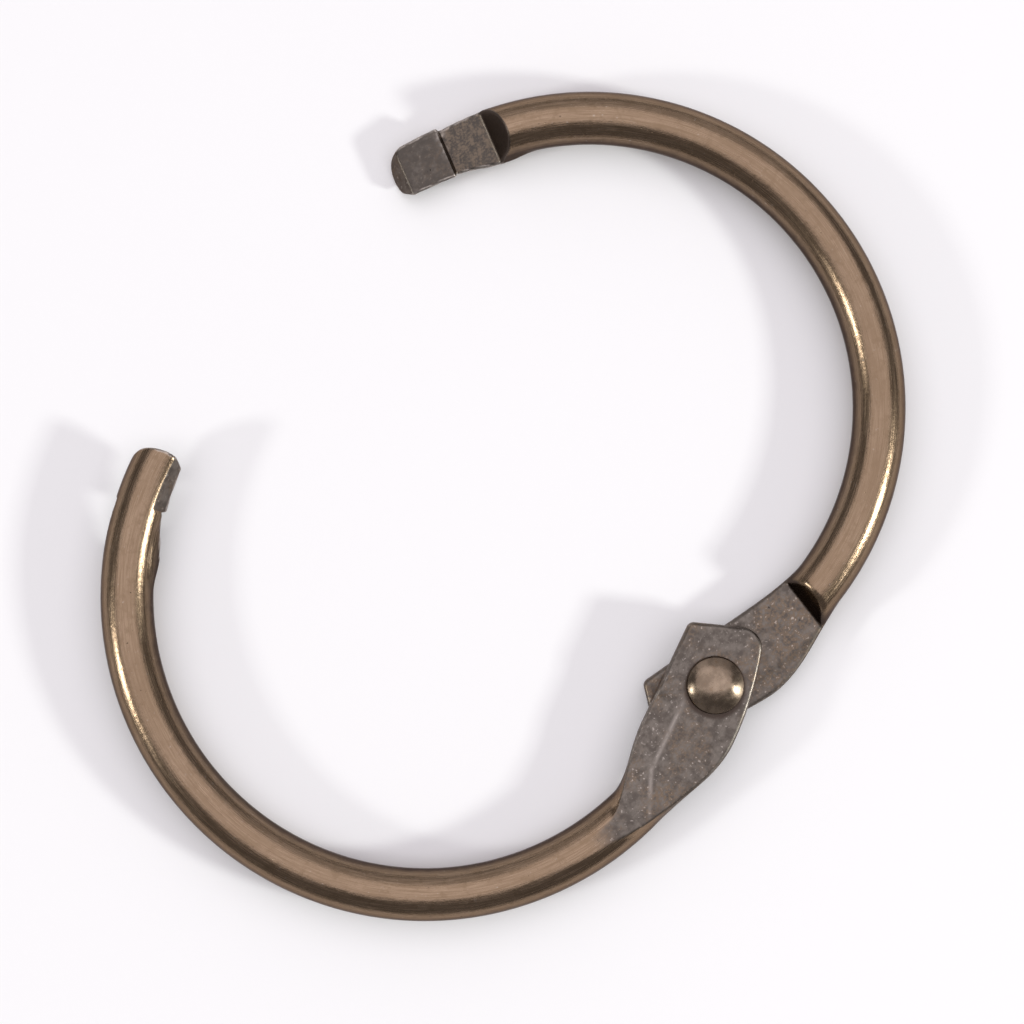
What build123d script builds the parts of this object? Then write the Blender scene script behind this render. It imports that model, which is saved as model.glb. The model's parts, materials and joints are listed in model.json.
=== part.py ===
from build123d import *
from math import asin, cos, degrees, pi, radians, sin, sqrt, tan
import os

# A hinged loose-leaf ring, lying open on a table, in millimetres.
# Two half rings of round wire turn on one rivet. Each half is one piece of wire: its hinge end is pressed
# flat to a widened tab, and its free end is a half lap with a hooked tooth. The two halves are made alike
# and one is turned over, so one tab lies above the mid-plane of the ring and the other below it, and the
# same holds for the free ends.
# Frame: the ring lies in the XY plane and opens towards +Y, with the rivet's axis along Z.

# Wire
WIRE_DIA = 2.38
RING_RADIUS = 13.24          # of the ring's centre line
BEND_DIFFERENCE = 0.19       # the upper half is bent this much wider, and the lower half this much tighter
TONGUE_STRAIGHTENED = 11.45  # added to the bend radius of the lower half's free end, which is straighter

# Opening of the ring
OPEN_ANGLE = 46.0            # from closed to the position at rest
CLOSED_SPREAD = 0.36         # from each arc's centre to the line from hinge to latch, when closed

# Hinge tab
TAB_THICKNESS = 1.05
TAB_GAP = 0.04               # between the two tabs, half of it on each side of the mid-plane
TAB_INNER = 2.24             # from the rivet to the tab's straight edge inside the ring
TAB_INNER_TURN = 8.5         # how far that edge is turned towards the ring's middle, in degrees
TAB_OUTER = 1.72             # from the rivet to the tab's curved outer edge
UPPER_TAB_END = 2.73         # from the rivet to the tab's end
LOWER_TAB_END = 3.12
TAB_END_TURN = 11.0          # how far the end edge is turned, in degrees
TAB_CORNER_ROUND = 1.0       # outer corner of the end
TAB_POINT_ROUND = 0.25       # inner corner of the end
TAB_EDGE_BREAK = 0.14        # bevel round the pressed face
UPPER_TAB_SHIFT = 0.15       # how far the rivet stands outside the wire's centre line
LOWER_TAB_SHIFT = 0.58

# Pressed zone between wire and tab
INNER_FLARE_START = 6.30     # along the wire from the rivet, where its inner side starts to widen
OUTER_FLARE_START = 5.95     # the same on its outer side
FLARE_RADIUS = 0.8           # of the round that leads from the wire into the tab
FLARE_SINK = 0.06            # how deep inside the wire that round starts
INNER_FLARE = 1.0            # length of the widening on the ring's inner side
INNER_FLARE_ROUND = 0.8      # of the corner where it ends
OUTER_FLARE_TURN = 28.0      # how steeply the outer side widens, in degrees
OUTER_FLARE_ROUND = 2.0      # of the corner where it ends
LEAF_LENGTH = 4.2            # length over which the pressed face runs out on the wire's back
STEP_DISTANCE = 5.40         # from the rivet to the foot of the step where full wire begins
STEP_TURN = 14.0             # how far the step's foot is turned, in degrees
STEP_LEAN = 27.0             # how far the step's face leans back, in degrees

# Rivet
SHANK_DIA = 1.60
SHANK_CLEARANCE = 0.05       # radial, in the tab that turns
HEAD_DIA = 2.60
HEAD_HEIGHT = 0.70
HEAD_RIM = 0.12
HEAD_GAP = 0.04              # between the head and the upper tab
TAIL_DIA = 2.07
TAIL_HEIGHT = 0.27
TAIL_ROUND = 0.16

# Half lap at the free end
LAP_LENGTH = 5.68            # from one shoulder to the other when the ring is closed
LAP_SHIFT = 0.45             # from the line through hinge and latch to the middle of the lap
LAP_CLEARANCE = 0.12         # between each tip and the other half's shoulder
SHOULDER_LEAN = 31.0         # lean of the shoulder and of the tip's end face, in degrees
TOOTH_CREST = 0.03           # how far the tooth stays short of the mid-plane
TOOTH_LEAD = 0.28            # fall of the tooth's face from its crest to the tip
HOOK_WIDTH = 0.10            # length over which the hook's face drops
NOTCH_DEPTH = 0.45
NOTCH_ROOT_DEPTH = 0.12      # depth of the notch's floor where it meets the shoulder
TIP_OUTER_ROUND = 0.85
TIP_INNER_ROUND = 0.35
BULGE_LENGTH = 1.70          # metal squeezed out of the wire's inner side beside the notch's root
BULGE_PROUD = 0.20
BULGE_SETBACK = 0.60         # from where the tongue starts to the middle of the bulge

UPPER_ARC_RADIUS = RING_RADIUS + BEND_DIFFERENCE   # centre line of the half whose tab lies on top
LOWER_ARC_RADIUS = RING_RADIUS - BEND_DIFFERENCE   # centre line of the half whose tab lies underneath
LOWER_TONGUE_RADIUS = LOWER_ARC_RADIUS + TONGUE_STRAIGHTENED
WIRE_RADIUS = WIRE_DIA / 2
MID_GAP = TAB_GAP / 2
TAB_BACK = MID_GAP + TAB_THICKNESS   # pressed face, measured from the mid-plane
REACH = 3 * WIRE_DIA                 # generous size for cutting tools


def place_on_wire(arc_radius, tab_shift, along):
    """Place at an arc length from the rivet, with X along the wire and Y pointing into the ring."""
    turn = pi + along / arc_radius
    centre_x = arc_radius + tab_shift
    return Pos(centre_x + arc_radius * cos(turn), arc_radius * sin(turn)) * Rot(0, 0, degrees(turn) + 90)


def bent_wire(radius, length):
    """Round wire that leaves the origin along X and bends towards +Y."""
    section = Plane.YZ * Circle(WIRE_RADIUS)
    return revolve(section, Axis((0, radius, 0), (0, 0, 1)), degrees(length / radius))


def tab_outline(arc_radius, tab_shift, tab_end):
    """Plan of the tab, from inside the wire: it widens, follows the ring outside and is straight elsewhere."""
    inner_place = place_on_wire(arc_radius, tab_shift, INNER_FLARE_START)
    outer_place = place_on_wire(arc_radius, tab_shift, OUTER_FLARE_START)
    inner_start = (inner_place * Pos(0, WIRE_RADIUS)).position
    outer_start = (outer_place * Pos(0, -WIRE_RADIUS)).position
    inner_slope = tan(radians(TAB_INNER_TURN))
    end_slope = tan(radians(TAB_END_TURN))
    shoulder_y = inner_start.Y + INNER_FLARE
    shoulder = Vector(TAB_INNER - inner_slope * shoulder_y, shoulder_y)
    point_y = (tab_end - end_slope * TAB_INNER) / (1 - end_slope * inner_slope)
    point = (TAB_INNER - inner_slope * point_y, point_y)
    outside = -TAB_OUTER - WIRE_DIA
    flare_heading = pi / 2 + OUTER_FLARE_START / arc_radius + radians(OUTER_FLARE_TURN)
    flare_top_y = outer_start.Y + (outside - outer_start.X) * tan(flare_heading)
    inner_root = inner_start + (inner_start - shoulder).normalized() * WIRE_RADIUS / 2
    outer_root = outer_start - Vector(cos(flare_heading), sin(flare_heading)) * WIRE_RADIUS / 2
    sides = Polyline(
        inner_root,
        shoulder,
        point,
        (outside, tab_end - end_slope * outside),
        (outside, flare_top_y),
        outer_root,
        close=True,
    )
    outline = make_face(sides) & Pos(arc_radius + tab_shift, 0) * Circle(arc_radius + tab_shift + TAB_OUTER)
    outline = fillet(outline.vertices().sort_by_distance(point)[0], TAB_POINT_ROUND)
    outline = fillet(outline.vertices().sort_by_distance((-TAB_OUTER, tab_end))[0], TAB_CORNER_ROUND)
    outline = fillet(outline.vertices().sort_by_distance((-TAB_OUTER, flare_top_y))[0], OUTER_FLARE_ROUND)
    return fillet(outline.vertices().sort_by_distance(shoulder)[0], INNER_FLARE_ROUND)


def pressed_tab(arc_radius, tab_shift, tab_end):
    """The flat tab with its bevelled back, cut out of a trumpet that grows out of the round wire."""
    plate = Pos(0, 0, -TAB_BACK) * extrude(tab_outline(arc_radius, tab_shift, tab_end), TAB_THICKNESS)
    back_edges = plate.faces().sort_by(Axis.Z)[0].edges()
    plate = chamfer(back_edges, TAB_EDGE_BREAK)
    bottom = WIRE_RADIUS - FLARE_SINK
    top = bottom + FLARE_RADIUS
    start = sqrt(FLARE_RADIUS**2 - (FLARE_RADIUS - FLARE_SINK) ** 2)
    end = start - FLARE_RADIUS
    eighth = FLARE_RADIUS * sin(pi / 4)
    mouth = INNER_FLARE_START + tab_end
    run = mouth + WIRE_DIA
    with BuildLine() as half_profile:
        Line((start, 0), (start, bottom))
        ThreePointArc((start, bottom), (start - eighth, top - eighth), (end, top))
        Polyline((end, top), (end, mouth), (-run, mouth), (-run, 0), (start, 0))
    trumpet = revolve(make_face(half_profile.line), Axis.X)
    return plate & (place_on_wire(arc_radius, tab_shift, INNER_FLARE_START) * trumpet)


def step_cutter():
    """Everything above the lap plane on the rivet's side of the step, whose face leans back."""
    top = REACH - MID_GAP
    profile = Polyline(
        (-REACH, -MID_GAP),
        (STEP_DISTANCE, -MID_GAP),
        (STEP_DISTANCE + REACH * tan(radians(STEP_LEAN)), top),
        (-REACH, top),
        close=True,
    )
    prism = extrude(Plane.XZ * make_face(profile), REACH, both=True)
    return Rot(0, 0, STEP_TURN - 90) * prism


def leaf_cutter(arc_radius, tab_shift):
    """Wedge under the wire: its face starts level with the tab's back and runs out on the wire's back."""
    fall = WIRE_RADIUS - TAB_BACK
    profile = Polyline(
        (-REACH, -TAB_BACK),
        (0, -TAB_BACK),
        (LEAF_LENGTH, -TAB_BACK - fall),
        (LEAF_LENGTH, -REACH),
        (-REACH, -REACH),
        close=True,
    )
    prism = extrude(Plane.XZ * make_face(profile), REACH, both=True)
    return place_on_wire(arc_radius, tab_shift, STEP_DISTANCE) * prism


def lap_cutter():
    """Everything above the lap face, in a frame at the middle of the lap whose X points to the tip."""
    half = LAP_LENGTH / 2
    slope = tan(radians(SHOULDER_LEAN))
    foot = half - slope * (WIRE_RADIUS + NOTCH_ROOT_DEPTH)
    profile = Polyline(
        (half + WIRE_DIA, -TOOTH_CREST - TOOTH_LEAD),
        (half, -TOOTH_CREST - TOOTH_LEAD),
        (HOOK_WIDTH / 2, -TOOTH_CREST),
        (-HOOK_WIDTH / 2, -NOTCH_DEPTH),
        (-foot, -NOTCH_ROOT_DEPTH),
        (-foot - slope * (REACH + NOTCH_ROOT_DEPTH), REACH),
        (half + WIRE_DIA, REACH),
        close=True,
    )
    return extrude(Plane.XZ * make_face(profile), REACH, both=True)


def tip_cutter():
    """Everything past the tip, whose end leans as the other half's shoulder does and is rounded in plan."""
    end = LAP_LENGTH / 2 - LAP_CLEARANCE
    width = WIRE_DIA + 2 * BULGE_PROUD + LAP_CLEARANCE
    kept = Pos(end / 2, 0) * Rectangle(end, width)
    end_corners = kept.vertices().sort_by(Axis.X)[-2:].sort_by(Axis.Y)
    kept = fillet(end_corners[0], TIP_OUTER_ROUND)
    kept = fillet(kept.vertices().sort_by(lambda v: v.X + v.Y)[-1], TIP_INNER_ROUND)
    window = Pos(end, 0) * Rectangle(2 * end, 2 * WIRE_DIA)
    around = extrude(window - kept, REACH, both=True)
    slope = tan(radians(SHOULDER_LEAN))
    wedge = Polyline(
        (end, -WIRE_RADIUS),
        (end - slope * (REACH + WIRE_RADIUS), REACH),
        (2 * end, REACH),
        (2 * end, -WIRE_RADIUS),
        close=True,
    )
    return around + extrude(Plane.XZ * make_face(wedge), REACH, both=True)


def root_bulge():
    """Metal squeezed out on the wire's inner side: a spindle along the wire near the tongue's start."""
    half_width = WIRE_RADIUS / 2 + BULGE_PROUD
    with BuildLine() as half_profile:
        ThreePointArc((-BULGE_LENGTH / 2, 0), (0, half_width), (BULGE_LENGTH / 2, 0))
        Line((BULGE_LENGTH / 2, 0), (-BULGE_LENGTH / 2, 0))
    spindle = revolve(make_face(half_profile.line), Axis.X)
    return Pos(BULGE_SETBACK, WIRE_RADIUS / 2, -NOTCH_ROOT_DEPTH - BULGE_PROUD) * spindle


def half_ring(arc_radius, tab_shift, tab_end, tongue_radius, hole_dia, lap_shift):
    """One half ring: tab and lap below the mid-plane, the rivet's axis on Z and the arc's centre on +X."""
    reach = arc_radius + tab_shift
    past_half = asin(CLOSED_SPREAD / reach) + asin(CLOSED_SPREAD / arc_radius)
    to_lap = arc_radius * (pi + past_half) + lap_shift
    bend_change = to_lap - LAP_LENGTH / 2
    wire = place_on_wire(arc_radius, tab_shift, 0) * bent_wire(arc_radius, bend_change)
    tongue_place = place_on_wire(arc_radius, tab_shift, bend_change)
    tongue = tongue_place * bent_wire(tongue_radius, LAP_LENGTH + WIRE_RADIUS)
    half_turn = LAP_LENGTH / 2 / tongue_radius
    lap_middle = Pos(tongue_radius * sin(half_turn), tongue_radius * (1 - cos(half_turn)))
    lap_place = tongue_place * lap_middle * Rot(0, 0, degrees(half_turn))
    body = wire + tongue + pressed_tab(arc_radius, tab_shift, tab_end) + tongue_place * root_bulge()
    body -= step_cutter()
    body -= leaf_cutter(arc_radius, tab_shift)
    body -= Cylinder(hole_dia / 2, REACH)
    body -= lap_place * lap_cutter()
    body -= lap_place * tip_cutter()
    return body


def hinge_rivet():
    """Domed head above the upper tab, shank through both tabs, and a flattened tail under the lower tab."""
    head_seat = TAB_BACK + HEAD_GAP
    dome_height = HEAD_HEIGHT - HEAD_RIM
    with BuildLine() as outline:
        Line((0, -TAB_BACK - TAIL_HEIGHT), (0, head_seat + HEAD_HEIGHT))
        ThreePointArc(
            (0, head_seat + HEAD_HEIGHT),
            dome_point(dome_height, head_seat + HEAD_RIM),
            (HEAD_DIA / 2, head_seat + HEAD_RIM),
        )
        Polyline(
            (HEAD_DIA / 2, head_seat + HEAD_RIM),
            (HEAD_DIA / 2, head_seat),
            (SHANK_DIA / 2, head_seat),
            (SHANK_DIA / 2, -TAB_BACK),
            (TAIL_DIA / 2, -TAB_BACK),
            (TAIL_DIA / 2, -TAB_BACK - TAIL_HEIGHT),
            (0, -TAB_BACK - TAIL_HEIGHT),
        )
    body = revolve(Plane.XZ * make_face(outline.line), Axis.Z)
    tail_rim = body.edges().filter_by(GeomType.CIRCLE).sort_by(Axis.Z)[0]
    return fillet(tail_rim, TAIL_ROUND)


def dome_point(height, base):
    """Middle point of the dome's arc, from its rise above the rim."""
    radius = ((HEAD_DIA / 2) ** 2 + height ** 2) / (2 * height)
    half_angle = asin(HEAD_DIA / 2 / radius) / 2
    return radius * sin(half_angle), base + height - radius * (1 - cos(half_angle))


running_hole = SHANK_DIA + 2 * SHANK_CLEARANCE
lower = half_ring(
    LOWER_ARC_RADIUS, LOWER_TAB_SHIFT, LOWER_TAB_END, LOWER_TONGUE_RADIUS, SHANK_DIA, LAP_SHIFT
)
upper = Rot(180, 0, 0) * half_ring(
    UPPER_ARC_RADIUS, UPPER_TAB_SHIFT, UPPER_TAB_END, UPPER_ARC_RADIUS, running_hole, -LAP_SHIFT
)

# Each half's arc centre leaves the line from hinge to latch by a small angle of its own.
lower_lead = degrees(asin(CLOSED_SPREAD / (LOWER_ARC_RADIUS + LOWER_TAB_SHIFT)))
upper_lead = degrees(asin(CLOSED_SPREAD / (UPPER_ARC_RADIUS + UPPER_TAB_SHIFT)))
lower = Rot(0, 0, 90 - OPEN_ANGLE / 2 - lower_lead) * lower
upper = Rot(0, 0, 90 + OPEN_ANGLE / 2 + upper_lead) * upper
rivet = hinge_rivet()

whole = Compound([lower, upper, rivet]).bounding_box()
origin = Pos(-whole.center().X, -whole.center().Y, -whole.min.Z)

os.makedirs("parts", exist_ok=True)
export_step(origin * lower, "parts/lower_half_ring.step")
export_step(origin * upper, "parts/upper_half_ring.step")
export_step(origin * rivet, "parts/hinge_rivet.step")
print("rivet axis at", [round(v, 4) for v in origin.position])
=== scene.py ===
# %% [markdown]
# # A hinged binder ring in antique bronze
# This lesson dresses a small ring made of two bent wires and one rivet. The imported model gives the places:
# where the hinge is, how far the ring is open, and the box that the metal stays in. The looks are made here,
# as fine surfaces worked out with numpy, and as a worn metal finish made of shader nodes.

# %% Load the frame
import json
import math

import bmesh
import bpy
import numpy as np
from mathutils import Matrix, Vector


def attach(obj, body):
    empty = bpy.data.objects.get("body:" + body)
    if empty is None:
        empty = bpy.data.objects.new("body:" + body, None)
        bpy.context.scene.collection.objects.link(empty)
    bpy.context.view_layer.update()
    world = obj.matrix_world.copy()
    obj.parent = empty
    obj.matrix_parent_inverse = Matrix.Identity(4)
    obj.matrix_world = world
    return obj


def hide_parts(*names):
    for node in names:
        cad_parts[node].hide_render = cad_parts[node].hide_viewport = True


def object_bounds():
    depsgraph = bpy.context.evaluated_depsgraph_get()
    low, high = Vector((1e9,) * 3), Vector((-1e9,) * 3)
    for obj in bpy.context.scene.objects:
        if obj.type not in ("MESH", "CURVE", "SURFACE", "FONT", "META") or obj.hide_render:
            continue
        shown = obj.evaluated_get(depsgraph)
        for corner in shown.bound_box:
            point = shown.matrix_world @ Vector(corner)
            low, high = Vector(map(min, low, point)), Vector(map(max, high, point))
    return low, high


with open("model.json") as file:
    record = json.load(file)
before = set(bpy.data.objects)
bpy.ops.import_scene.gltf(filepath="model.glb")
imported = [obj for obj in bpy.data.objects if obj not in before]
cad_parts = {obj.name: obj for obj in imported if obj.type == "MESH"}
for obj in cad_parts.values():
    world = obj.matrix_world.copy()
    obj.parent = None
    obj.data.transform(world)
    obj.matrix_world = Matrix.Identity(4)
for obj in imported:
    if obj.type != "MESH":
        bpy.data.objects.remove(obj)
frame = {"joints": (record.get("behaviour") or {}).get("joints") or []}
cad_low, cad_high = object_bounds()
HINGE = frame["joints"][0]
RIVET_X, RIVET_Y, MID_PLANE = (1000 * value for value in HINGE["pos_m"])
OPEN_ANGLE = -HINGE["range_deg"][0]
print("rivet axis at", round(RIVET_X, 3), round(RIVET_Y, 3), "mm, ring open by", OPEN_ANGLE, "degrees")

# %% [markdown]
# ## Sizes
# The ring is small, so lengths are in millimetres here and become metres when a mesh is made. Each half is
# worked out in its own place, with the rivet's axis as Z and the middle of its arc on +X, and its tab and
# its lap below the mid-plane. The two halves are of one design, and one of them is turned over.

# %% Sizes of the wire, the tab and the lap
WIRE_RADIUS = 1.186          # a hair under the solids, so that the fine skin stays inside their outline
RING_RADIUS = 13.24          # of the wire's centre line
BEND_DIFFERENCE = 0.19       # the upper half is bent this much wider, the lower half this much tighter
TONGUE_STRAIGHTENED = 11.45  # added to the bend radius of the lower half's free end
UPPER_RADIUS = RING_RADIUS + BEND_DIFFERENCE
LOWER_RADIUS = RING_RADIUS - BEND_DIFFERENCE
LOWER_TONGUE_RADIUS = LOWER_RADIUS + TONGUE_STRAIGHTENED
CLOSED_SPREAD = 0.36         # from each arc's centre to the line from hinge to latch, when closed

MID_GAP = 0.02               # from the mid-plane to either tab
TAB_THICKNESS = 1.05
TAB_BACK = MID_GAP + TAB_THICKNESS
TAB_INNER = 2.24             # from the rivet to the tab's straight inner edge
TAB_INNER_TURN = math.radians(8.5)
TAB_OUTER = 1.72             # from the rivet to the tab's curved outer edge
UPPER_TAB_END = 2.73         # from the rivet to the tab's end
LOWER_TAB_END = 3.12
UPPER_TAB_SHIFT = 0.15       # how far the rivet stands outside the wire's centre line
LOWER_TAB_SHIFT = 0.58
TAB_END_TURN = math.radians(11.0)
TAB_CORNER_ROUND = 1.0       # outer corner of the end
TAB_POINT_ROUND = 0.22       # inner corner of the end
INNER_FLARE_START = 6.30     # along the wire from the rivet
OUTER_FLARE_START = 5.95
INNER_FLARE = 1.0            # length of the widening on the ring's inner side
INNER_FLARE_ROUND = 0.8      # of the corner where it ends
OUTER_FLARE_TURN = math.radians(28.0)   # how steeply the outer side widens
OUTER_FLARE_ROUND = 2.0
LEAF_LENGTH = 4.2            # length of the flat that runs out on the wire's back
STEP_DISTANCE = 5.40         # from the rivet to the foot of the step
STEP_TURN = math.radians(14.0)
STEP_LEAN = math.radians(27.0)

LAP_LENGTH = 5.68            # from one shoulder to the other when the ring is closed
LAP_SHIFT = 0.45             # from the line through hinge and latch to the middle of the lap
LAP_CLEARANCE = 0.12         # between each tip and the other half's shoulder
SHOULDER_LEAN = math.radians(31.0)
TOOTH_CREST = 0.03           # how far the tooth stays short of the mid-plane
TOOTH_LEAD = 0.28            # fall of the tooth's face from its crest to the tip
HOOK_WIDTH = 0.10            # length over which the hook's face drops
NOTCH_DEPTH = 0.45
NOTCH_ROOT_DEPTH = 0.12      # depth of the notch's floor where it meets the shoulder
BULGE_PROUD = 0.20           # of the metal pushed out of the wire's side
BULGE_SETBACK = 0.60         # from where the tongue starts to the middle of the bulge
BULGE_HALF_LENGTH = 1.15
BULGE_HALF_HEIGHT = 0.30

# %% [markdown]
# ## The path of one half
# A half ring is one wire, so every place on it has three natural numbers: how far along the wire, how far
# towards the ring's inside, and how high. Working in these numbers turns the bent wire into a straight one.
# A function takes them back to the plan. The free end of one half was straightened a little, so the path is
# two arcs.

# %% A half ring's path


class HalfPath:
    """The centre line of one half: an arc from the hinge, and a second arc for the tongue at the free end."""

    def __init__(self, radius, shift, tab_end, tongue_radius, lap_shift):
        self.radius = radius
        self.centre = radius + shift
        self.tab_end = tab_end
        self.tongue_radius = tongue_radius
        past_half = math.asin(CLOSED_SPREAD / self.centre) + math.asin(CLOSED_SPREAD / radius)
        self.lap_middle = radius * (math.pi + past_half) + lap_shift
        self.tongue_start = self.lap_middle - LAP_LENGTH / 2
        self.lead = math.asin(CLOSED_SPREAD / self.centre)

    def plan(self, along, inward):
        """Plan place: the arc's centre plus its radius less the inward distance, at the angle that the length
        gives."""
        angle = math.pi + np.minimum(along, self.tongue_start) / self.radius
        past = np.maximum(along - self.tongue_start, 0) / self.tongue_radius
        turned = math.pi + self.tongue_start / self.radius
        moved = np.where(along > self.tongue_start, self.radius - self.tongue_radius, 0.0)
        bend = np.where(along > self.tongue_start, self.tongue_radius, self.radius)
        x = self.centre + moved * math.cos(turned) + (bend - inward) * np.cos(angle + past)
        y = moved * math.sin(turned) + (bend - inward) * np.sin(angle + past)
        return x, y

    def heading(self, along):
        """Direction of the wire at one length along it, as an angle in the plan."""
        past = max(along - self.tongue_start, 0) / self.tongue_radius
        return math.pi * 1.5 + min(along, self.tongue_start) / self.radius + past


upper_path = HalfPath(UPPER_RADIUS, UPPER_TAB_SHIFT, UPPER_TAB_END, UPPER_RADIUS, -LAP_SHIFT)
lower_path = HalfPath(LOWER_RADIUS, LOWER_TAB_SHIFT, LOWER_TAB_END, LOWER_TONGUE_RADIUS, LAP_SHIFT)
for name, path in (("upper", upper_path), ("lower", lower_path)):
    print(name, "half: wire of", round(path.lap_middle + LAP_LENGTH / 2, 2), "mm along its centre line")

# %% [markdown]
# ## Forms as distances
# A pressed wire has no clean edges: where two faces meet, the metal is rounded. Bevels on a mesh are hard to
# place on such a shape. It is easier to say for each face how far a point lies outside it, and to join those
# distances with two small functions that round the edge where the faces meet.

# %% Rounded joins of two distances, and three helpers


def shared(a, b, round_by):
    """What two forms share. Inside it is the larger distance; near the edge it is the corner distance of
    both, each grown by the rounding, less the rounding."""
    corner = np.hypot(np.maximum(a + round_by, 0), np.maximum(b + round_by, 0))
    return np.minimum(np.maximum(a, b), -round_by) + corner


def joined(a, b, round_by):
    """Both forms together, with a hollow rounding where they meet: the shared form of the two outsides,
    negated."""
    return -shared(-a, -b, round_by)


def smooth(value, low, high):
    """Rises from 0 at low to 1 at high: three times the share squared, less twice its cube."""
    share = np.clip((value - low) / (high - low), 0, 1)
    return share * share * (3 - 2 * share)


def between(value, rise, fall):
    """1 between two limits and 0 outside them: a smooth rise at one, times one less a smooth rise at the
    other."""
    return smooth(value, *rise) * (1 - smooth(value, *fall))


def beside(x, y, start, finish):
    """How far a point lies to the right of the walk from start to finish: the cross product with the unit
    step."""
    step_x, step_y = finish[0] - start[0], finish[1] - start[1]
    length = math.hypot(step_x, step_y)
    return (step_y * (x - start[0]) - step_x * (y - start[1])) / length


print("a sharp corner rounded by 0.2 mm loses", round(float(shared(0.0, 0.0, 0.2)), 3), "mm at its point")

# %% [markdown]
# ## The pressed tab
# The hinge end was squeezed between two dies. It spread sideways into a flat plate with a straight inner
# edge, a rounded outer corner and a sharp inner one. Its outer face kept a shallow facet along the inner
# edge, and it runs out on the wire's back as a leaf-shaped flat. On the inner face the full wire ends in a
# steep step.

# %% The tab as a form
EDGE_ROUND = 0.21            # of the plate's worn edges
FLARE_BLEND = 0.55           # hollow rounding where the plate grows out of the wire
STEP_CREST_ROUND = 0.22
LEAF_ROUND = 0.04
FACET_WIDTH = 1.25           # the facet along the inner edge of the outer face
FACET_DROP = 0.17            # how much lower the facet is at that edge
FACET_ROUND = 0.05
FACET_ALONG = ((0.6, 1.8), (5.4, 7.0))       # where it rises and fades, along the wire from the rivet
WAVINESS = 0.012             # the outer face waves about this far from flat
MARK_DEPTH = 0.022           # of the short grooves that the dies left beside the outer edge
MARK_PITCH = 0.29
MARK_SLANT = 0.5             # how far a groove runs along the wire for each millimetre aside
MARKS_ALONG = ((1.7, 1.9), (3.0, 3.2))       # where the grooves rise and fade, along the wire
MARKS_ASIDE = ((0.85, 1.1), (1.5, 1.62))     # and aside, towards the ring's outside
WAVES_FADE = (4.4, 6.4)      # the waves end here, before the plain wire


def tab_plan(path, x, y):
    """Distance outside the plate's outline: straight inside and end edges, a curved outer edge and two
    flares."""
    inner_start = np.array(path.plan(np.float64(INNER_FLARE_START), WIRE_RADIUS))
    outer_start = np.array(path.plan(np.float64(OUTER_FLARE_START), -WIRE_RADIUS))
    slope = math.tan(TAB_INNER_TURN)
    shoulder = (TAB_INNER - slope * (inner_start[1] + INNER_FLARE), inner_start[1] + INNER_FLARE)
    inner_edge = beside(x, y, (TAB_INNER, 0), (TAB_INNER - slope, 1))
    inner_flare = beside(x, y, inner_start, shoulder)
    end_edge = beside(x, y, (0, path.tab_end), (-1, path.tab_end + math.tan(TAB_END_TURN)))
    outer_edge = np.hypot(x - path.centre, y) - path.centre - TAB_OUTER
    flare_heading = math.pi / 2 + OUTER_FLARE_START / path.radius + OUTER_FLARE_TURN
    ahead = (outer_start[0] - math.cos(flare_heading), outer_start[1] - math.sin(flare_heading))
    outer_flare = beside(x, y, outer_start, ahead)
    inner_side = shared(inner_edge, inner_flare, INNER_FLARE_ROUND)
    outer_side = shared(shared(outer_edge, end_edge, TAB_CORNER_ROUND), outer_flare, OUTER_FLARE_ROUND)
    return shared(inner_side, outer_side, TAB_POINT_ROUND), inner_side


def step_face(height, x, y):
    """Distance on the rivet's side of the step's leaning face, which starts from a line turned in the
    plan."""
    across = x * math.sin(STEP_TURN) - y * math.cos(STEP_TURN)
    return (STEP_DISTANCE + (height + MID_GAP) * math.tan(STEP_LEAN) - across) * math.cos(STEP_LEAN)


def die_marks(along, inward, x, y):
    """Depth that the dies left in the outer face: a shallow wave all over, and a comb of slanted grooves."""
    wave = np.sin(2.3 * x + 0.8 * y) * np.sin(1.7 * y - 1.9 * x + 0.5) + 0.4 * np.sin(4.1 * x - 3.3 * y + 1.0)
    comb = smooth(np.cos(2 * math.pi * (along + MARK_SLANT * inward) / MARK_PITCH), 0.45, 1.0)
    comb = comb * between(-inward, *MARKS_ASIDE) * between(along, *MARKS_ALONG)
    return WAVINESS * wave * (1 - smooth(along, *WAVES_FADE)) + MARK_DEPTH * comb


def back_faces(along, inward, height, x, y, inner_side):
    """Distances outside the leaf-shaped flat and the facet, and how much of the facet there is at each
    point."""
    fall = (WIRE_RADIUS - TAB_BACK) / LEAF_LENGTH
    marks = die_marks(along, inward, x, y)
    leaf = -TAB_BACK - fall * np.maximum(along - STEP_DISTANCE, 0) - height + marks
    facet_here = between(along, *FACET_ALONG)
    facet = -TAB_BACK + FACET_DROP * facet_here * (1 + inner_side / FACET_WIDTH) - height + marks
    return leaf, np.where(facet_here > 0, facet, leaf), facet_here


def tab_form(path, along, inward, height, x, y):
    """Wire and plate joined with a hollow rounding, then cut by the step, the leaf-shaped flat and the
    facet."""
    wire = np.maximum(np.hypot(inward, height) - WIRE_RADIUS, -along)
    plan, inner_side = tab_plan(path, x, y)
    plate = shared(plan, np.abs(height + MID_GAP + TAB_THICKNESS / 2) - TAB_THICKNESS / 2, EDGE_ROUND)
    body = joined(wire, plate, FLARE_BLEND)
    body = shared(body, np.minimum(step_face(height, x, y), height + MID_GAP), STEP_CREST_ROUND)
    leaf, facet, _ = back_faces(along, inward, height, x, y, inner_side)
    return shared(shared(body, leaf, LEAF_ROUND), facet, FACET_ROUND)


print("the outer face lies", TAB_BACK, "mm from the mid-plane, and its facet falls", FACET_DROP, "mm more")

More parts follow.
